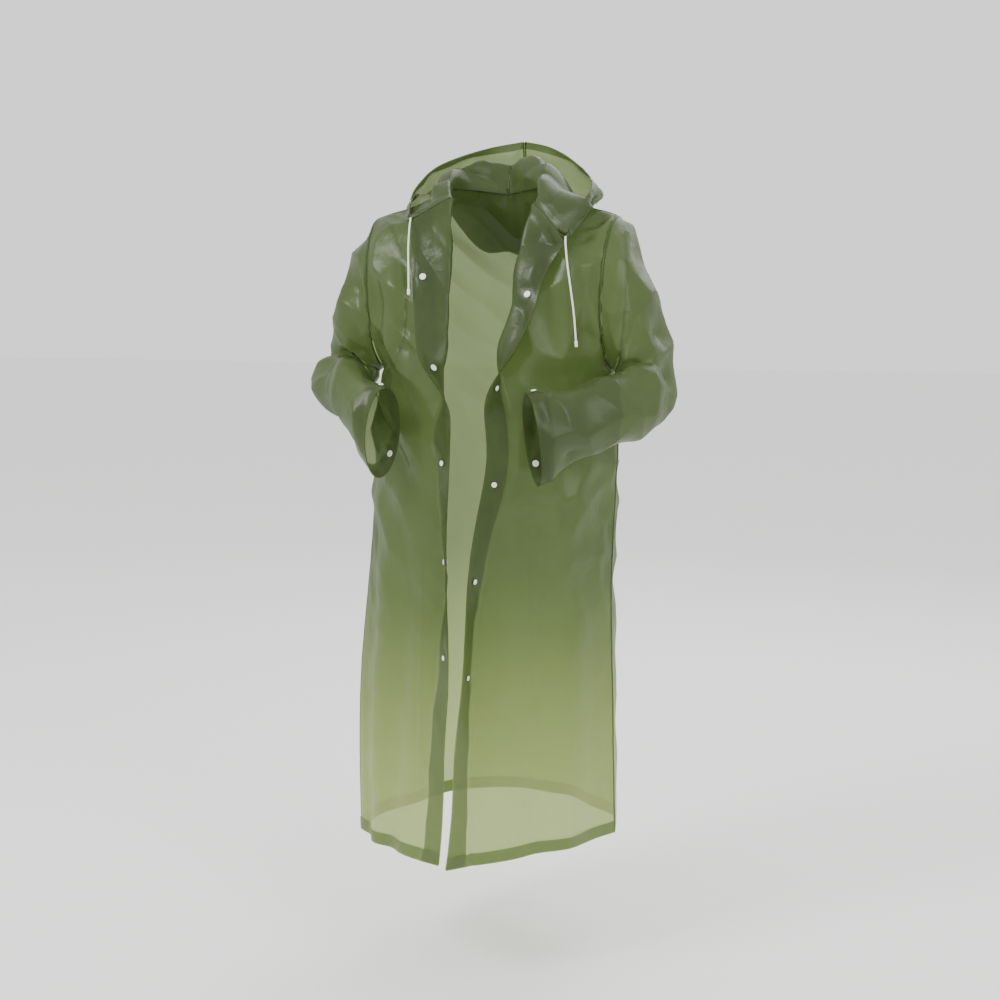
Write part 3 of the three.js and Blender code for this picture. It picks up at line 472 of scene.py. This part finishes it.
def crumple_at(place, edges):
    """How far the film is pushed out at a place: broad waves, flat facets that meet in sharp creases, and the
    lines it was packed along. It is strongest over the chest and sleeves, and lies still near edges, snaps
    and cords."""
    high = min(max((place.z - CALM_LOW) / CALM_REACH, 0), 1)
    if place.y < ROLL_FRONT:
        beside = min(max((abs(place.x) - ROLL_X) / ROLL_EASE, 0), 1)
        high *= ROLL_SHARE + (1 - ROLL_SHARE) * beside
    bent = place + BEND * noise.noise_vector(place / BEND_LENGTH)
    slanted = Vector((bent.x * 0.8 + bent.z * 0.5, bent.y * 0.8, bent.z * 0.75 - abs(bent.x) * 0.35))
    facets = noise.voronoi(slanted / CREASE_LENGTH)[0][0] - 0.5
    broad = CRUMPLE * noise.noise(place / CRUMPLE_LENGTH) * (BROAD_LOW + (1 - BROAD_LOW) * high)
    fine = FINE * noise.noise(place / FINE_LENGTH)
    loose = min(STILL.find(place)[2], edges.find(place)[2]) / QUIET
    loose = min(loose, 1)
    loose *= loose * (3 - 2 * loose)
    sharp = CREASE * (CREASE_LOW + (1 - CREASE_LOW) * high) * facets
    return loose * (broad + sharp) + fine + packed_at(place)


def packed_at(place):
    """The faint straight creases left by folding for the packet: one upright and two level on each front."""
    if place.y > PACKED_FRONT or place.z > PACKED_TOP:
        return 0
    off = abs(place.x - OPENING_X) - PACKED_SIDE
    upright = math.exp(-((off / PACKED_WIDTH) ** 2)) * (place.z > PACKED_UPRIGHT_END)
    level = sum(math.exp(-(((place.z - z) / PACKED_WIDTH) ** 2)) for z in PACKED_LEVELS)
    return PACKED * (upright + level)


def edge_tree(mesh):
    """The points of a sheet's open edges, to find the nearest one."""
    used = {}
    for face in mesh.polygons:
        for key in face.edge_keys:
            used[key] = used.get(key, 0) + 1
    ends = sorted({i for key, count in used.items() if count == 1 for i in key})
    tree = kdtree.KDTree(len(ends))
    for i in ends:
        tree.insert(mesh.vertices[i].co, i)
    tree.balance()
    return tree


def same_way(mesh, other):
    """Turns a sheet over where it looks the other way than the sheet beside or under it."""
    tree = kdtree.KDTree(len(other.vertices))
    for i, v in enumerate(other.vertices):
        tree.insert(v.co, i)
    tree.balance()
    near = [(v.normal, *tree.find(v.co)) for v in mesh.vertices]
    agree = sum(n.dot(other.vertices[i].normal) for n, _, i, far in near if far < 0.012)
    if agree < 0:
        mesh.flip_normals()
        mesh.update()
    return agree


def film_sheet(node, wall, levels, material, slot, beside=None):
    """The piece of film that stands for a solid wall."""
    bm, skins = middle_sheet(node, wall)
    faces, quads = len(bm.faces), sum(len(f.verts) == 4 for f in bm.faces)
    mesh = bpy.data.meshes.new(f"{node}_film")
    bm.to_mesh(mesh)
    bm.free()
    made = new_object(f"{node}_film", mesh, material, slot, node)
    smooth = made.modifiers.new("smooth", "SUBSURF")
    smooth.levels = smooth.render_levels = levels
    smooth.boundary_smooth = "PRESERVE_CORNERS"
    bpy.context.view_layer.update()
    shaped = bpy.data.meshes.new_from_object(made.evaluated_get(bpy.context.evaluated_depsgraph_get()))
    made.modifiers.clear()
    made.data = shaped
    agree = same_way(shaped, smooth_meshes[beside]) if beside else 0
    smooth_meshes[node] = shaped.copy()
    if node in CUT:
        edge_trees[node] = edge_tree(shaped)
    edges = edge_trees[node if node in CUT else beside]
    for v, normal in zip(shaped.vertices, [v.normal.copy() for v in shaped.vertices]):
        v.co = v.co + normal * crumple_at(v.co, edges)
    print(node, "skins", skins, "quads", quads, "of", faces, "faces, now", len(shaped.polygons))
    print("  agrees with the sheet beside it by", round(agree, 1))
    return made


# %% [markdown]
# ## Cut pieces
# The back, the two fronts, the sleeves and the hood halves are each one sheet. Each is declared with the size
# it is cut to before it is sewn.

# %% Make the cut pieces
smooth_meshes = {}
edge_trees = {}
CUT = {
    "back": dict(flat=(0.84, 1.49), area=0.86, held="hung"),
    "front_left": dict(flat=(0.41, 1.48), area=0.43, held="hung"),
    "front_right": dict(flat=(0.36, 1.48), area=0.40, held="hung"),
    "sleeve_left": dict(flat=(0.79, 0.70), area=0.21, held="gathered"),
    "sleeve_right": dict(flat=(0.79, 0.70), area=0.196, held="gathered"),
    "hood_left": dict(flat=(0.48, 0.53), area=0.113, held="folded"),
    "hood_right": dict(flat=(0.45, 0.53), area=0.105, held="folded"),
}
BANDS = {
    "placket_left": dict(flat=(0.054, 1.23), area=0.051),
    "placket_right": dict(flat=(0.054, 1.25), area=0.051),
    "hem_left": dict(flat=(0.40, 0.026), area=None),
    "hem_right": dict(flat=(0.28, 0.026), area=None),
    "hem_back": dict(flat=(0.83, 0.026), area=None),
    "cuff_hem_left": dict(flat=(0.40, 0.029), area=None),
    "cuff_hem_right": dict(flat=(0.40, 0.03), area=None),
    "hood_casing_left": dict(flat=(0.45, 0.014), area=None),
    "hood_casing_right": dict(flat=(0.41, 0.014), area=None),
}
sheets = {}
for node, cut in CUT.items():
    beside = "hood_left" if node == "hood_right" else None if node in ("back", "hood_left") else "back"
    sheets[node] = film_sheet(node, FILM_WALL, 3, film, "film", beside)
for node in BANDS:
    host = node.replace("placket", "front").replace("cuff_hem", "sleeve").replace("hood_casing", "hood")
    host = host.replace("hem_back", "back").replace("hem", "front")
    sheets[node] = film_sheet(node, BAND_WALL, 2 if "hood" in node else 3, band_film, "band", host)
print("sheets", len(sheets))

# %% [markdown]
# ## Welded seams
# Two pieces are joined by a welded strip: both layers lie on each other there, so the seam reads as a darker
# line. Each strip runs along the edge of one sheet, from there to the nearest edge of the other sheet.

# %% Weld the seams


def edge_loops(mesh):
    """The chains of points round the open edges of a sheet, each point with the way into the sheet."""
    bm = bmesh.new()
    bm.from_mesh(mesh)
    inward = {}
    for v in bm.verts:
        if v.is_boundary:
            others = [e.other_vert(v).co for e in v.link_edges if not e.is_boundary]
            middle = sum(others, Vector()) / max(len(others), 1)
            inward[v] = (middle - v.co).normalized() if others else None
    chains, left = [], dict.fromkeys(inward)
    while left:
        chain, v = [], next(iter(left))
        while v is not None and v in left:
            del left[v]
            chain.append(v)
            ahead = [e.other_vert(v) for e in v.link_edges if e.is_boundary]
            v = next((w for w in ahead if w in left), None)
        chains.append([(v.co.copy(), v.normal.copy(), inward[v]) for v in chain])
    bm.free()
    return chains


LOOPS = {node: edge_loops(made.data) for node, made in sheets.items() if node in CUT}


def weld(name, node, others):
    """A strip along the edges of one sheet wherever another sheet's edge is near."""
    points = [(p, way) for other in others for chain in LOOPS[other] for p, _, way in chain if way]
    tree = kdtree.KDTree(len(points))
    for i, (p, _) in enumerate(points):
        tree.insert(p, i)
    tree.balance()
    bm = bmesh.new()
    for chain in LOOPS[node]:
        closed = (chain[0][0] - chain[-1][0]).length < CHAIN_CLOSED
        row_before = None
        first_row = None
        for p, normal, way in chain:
            near, i, far = tree.find(p)
            if far > SEAM_REACH or way is None:
                row_before = None
                continue
            middle = (p + near) / 2
            lift = normal * WELD_LIFT
            beyond = points[i][1]
            steps = [way * WELD, way * WELD * 0.3, beyond * WELD * 0.3, beyond * WELD]
            row = [bm.verts.new(middle + step + lift) for step in steps]
            if row_before and (row_before[0].co - row[0].co).length < STRIP_STEP:
                for a, b, c, d in zip(row_before, row_before[1:], row[1:], row):
                    bm.faces.new((a, b, c, d))
            first_row = first_row or row
            row_before = row
        if closed and row_before and first_row is not row_before:
            if (first_row[0].co - row_before[0].co).length < CHAIN_CLOSED:
                for a, b, c, d in zip(row_before, row_before[1:], first_row[1:], first_row):
                    bm.faces.new((a, b, c, d))
    mesh = bpy.data.meshes.new(name)
    bm.to_mesh(mesh)
    bm.free()
    made = bpy.data.objects.new(name, mesh)
    bpy.context.scene.collection.objects.link(made)
    mesh.materials.append(weld_film)
    for face in mesh.polygons:
        face.use_smooth = True
    shell = made.modifiers.new("thickness", "SOLIDIFY")
    shell.thickness = SEAM_THICK
    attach(made, "root")
    print(name, len(mesh.polygons), "faces")
    return made


welds = {
    "sleeve_left": weld("seam_armhole_left", "sleeve_left", ["back", "front_left"]),
    "sleeve_right": weld("seam_armhole_right", "sleeve_right", ["back", "front_right"]),
    "front_left": weld("seam_side_left", "front_left", ["back"]),
    "front_right": weld("seam_side_right", "front_right", ["back"]),
    "hood_left": weld("seam_hood", "hood_left", ["hood_right"]),
    "back": weld("seam_neck_back", "back", ["hood_left", "hood_right"]),
}
neck_welds = [
    weld("seam_neck_left", "front_left", ["hood_left"]),
    weld("seam_neck_right", "front_right", ["hood_right"]),
]

# %% [markdown]
# ## Snaps
# Each snap half keeps its place on the cloth, moved as the film under it moved. Its cap is a low dome with a
# rounded edge and a dimple; its socket has a raised ring. Both are round, so each is a half outline that is
# spun about its axis, which is simpler than laying out its rings point by point.

# %% Make the snaps


def turned_profile(name, profile, centre, axis, material, slot, node, sides=32):
    """A round piece spun from (radius, height) pairs about an axis through a centre."""
    bm = bmesh.new()
    tilt = Vector((0, 0, 1)).rotation_difference(axis).to_matrix().to_4x4()
    line = [bm.verts.new((radius, 0, height)) for radius, height in profile]
    edges = [bm.edges.new(pair) for pair in zip(line, line[1:])]
    bmesh.ops.spin(
        bm, geom=line + edges, cent=(0, 0, 0), axis=(0, 0, 1), angle=2 * math.pi, steps=sides, use_merge=True
    )
    bmesh.ops.remove_doubles(bm, verts=bm.verts, dist=0.00001)
    bmesh.ops.recalc_face_normals(bm, faces=bm.faces)
    bmesh.ops.transform(bm, matrix=Matrix.Translation(centre) @ tilt, verts=bm.verts)
    mesh = bpy.data.meshes.new(name)
    bm.to_mesh(mesh)
    bm.free()
    return new_object(name, mesh, material, slot, node)


def flat_axis(node):
    """Middle of a disc's foot, and the way it stands, from its solid."""
    points = [v.co.copy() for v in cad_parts[node].data.vertices]
    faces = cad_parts[node].data.polygons
    foot = max(faces_by_way(faces), key=lambda group: group[1])[0]
    middle = sum(points, Vector()) / len(points)
    return middle, foot


def faces_by_way(faces):
    """The ways that faces look, each with its area, those that agree added up."""
    groups = []
    for face in faces:
        for group in groups:
            if group[0].dot(face.normal) > 0.999:
                group[1] += face.area
                break
        else:
            groups.append([face.normal.copy(), face.area])
    return groups


# Half outlines of a cap and a socket, each point a radius and a height in millimetres.
CAP = [
    (0, 0), (5.6, 0), (6.1, 0.3), (6.2, 0.7), (5.9, 1.15),
    (5.2, 1.42), (3.9, 1.5), (3.1, 1.42), (2.6, 1.2), (0, 1.15),
]
SOCKET = [
    (0, 0), (4.6, 0), (4.9, 0.4), (4.9, 1.2), (4.5, 1.7), (3.6, 1.9),
    (3.3, 2.1), (2.6, 2.2), (2.1, 2.1), (1.9, 1.2), (0, 1.1),
]
SOCKET_HEIGHT = 2.2


def carried(place, host):
    """How far the film under a place was moved when it was crumpled."""
    before = smooth_meshes[host].vertices
    i = min(range(len(before)), key=lambda k: (before[k].co - place).length_squared)
    return sheets[host].data.vertices[i].co - before[i].co


names = [f"snap_{hand}_{i}" for hand in ("left", "right") for i in range(1, 6)]
names += [f"cuff_snap_{hand}_{i}" for hand in ("left", "right") for i in (1, 2)]
snaps = 0
for name in names:
    for part, profile in (("cap", CAP), ("socket", SOCKET)):
        node = f"{name}_{part}"
        middle, foot = flat_axis(node)
        height = profile[-1][1] if part == "cap" else SOCKET_HEIGHT
        scaled = [(r / 1000, (h - height / 2) / 1000) for r, h in profile]
        host = ("sleeve_" if "cuff" in name else "front_") + ("left" if "left" in name else "right")
        middle += carried(middle, host)
        turned_profile(f"{node}_piece", scaled, middle, -foot, snap_mat, "snap", node)
        snaps += 1
print("snap halves", snaps)

# %% [markdown]
# ## Cord tips
# A moulded tip keeps each cord end from fraying. It is turned from a half outline, as the snaps are, and it
# stands just off the cord's last point, in line with it.

# %% Make the cord tips
TIP_GAP = 0.00035
TIP = [(0, 0), (1.7, 0), (2.5, 0.4), (2.9, 1.5), (2.9, 10.5), (2.6, 11.5), (1.7, 12), (0, 12)]
for hand in ("left", "right"):
    route = smooth_route(CORD_ROUTES[hand])
    way = (route[-1] - route[-2]).normalized()
    profile = [(r / 1000, h / 1000) for r, h in TIP]
    foot = route[-1] + way * TIP_GAP
    turned_profile(f"tip_{hand}", profile, foot, way, tip_mat, "tip", f"cord_tip_{hand}")

# %% [markdown]
# ## Facts of the soft pieces
# Each cord and sheet is declared with its real size. The flat sizes were measured on the modelled pieces, so
# the shares that the check finds are near 1 by construction.

for node, cut in CUT.items():
    seams = [welds[node]] if node in welds else []
    seams += neck_welds if node == "hood_right" else []
